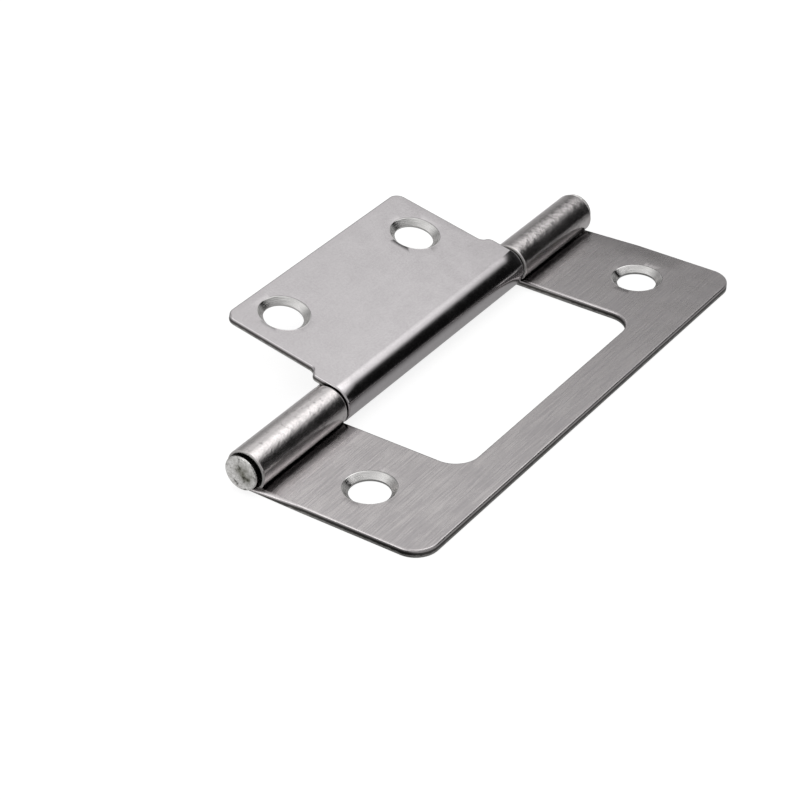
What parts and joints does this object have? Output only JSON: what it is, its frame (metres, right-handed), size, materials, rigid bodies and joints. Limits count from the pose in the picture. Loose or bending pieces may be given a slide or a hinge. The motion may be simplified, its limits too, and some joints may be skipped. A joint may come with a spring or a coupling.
{
  "type": "flush hinge",
  "caption": "Flush hinge of bare steel sheet: a narrow inner leaf folds into the cut-out of a wider outer leaf, both rolled round one pin.",
  "frame": {"origin": "on the outer leaf's back, straight under the pin's axis and midway along the hinge", "axes": "+X from the pin to the outer leaf's free edge, +Y along the pin, +Z out of the outer leaf's countersunk face"},
  "size_m": [0.0434, 0.0768, 0.0092],
  "materials": {
    "outer_leaf_steel": "brushed",
    "inner_leaf_steel": "satin",
    "pin_steel": "rough"
  },
  "bodies": {
    "outer": {"outer_leaf": "outer_leaf_steel", "hinge_pin": "pin_steel"},
    "inner": {"inner_leaf": "inner_leaf_steel"}
  },
  "joints": [
    {"name": "leaf_hinge", "type": "hinge", "parent": "outer", "child": "inner", "pos_m": [0, 0, 0.00283], "axis": [0, 1, 0], "range_deg": [-25.5, 168.5]}
  ]
}
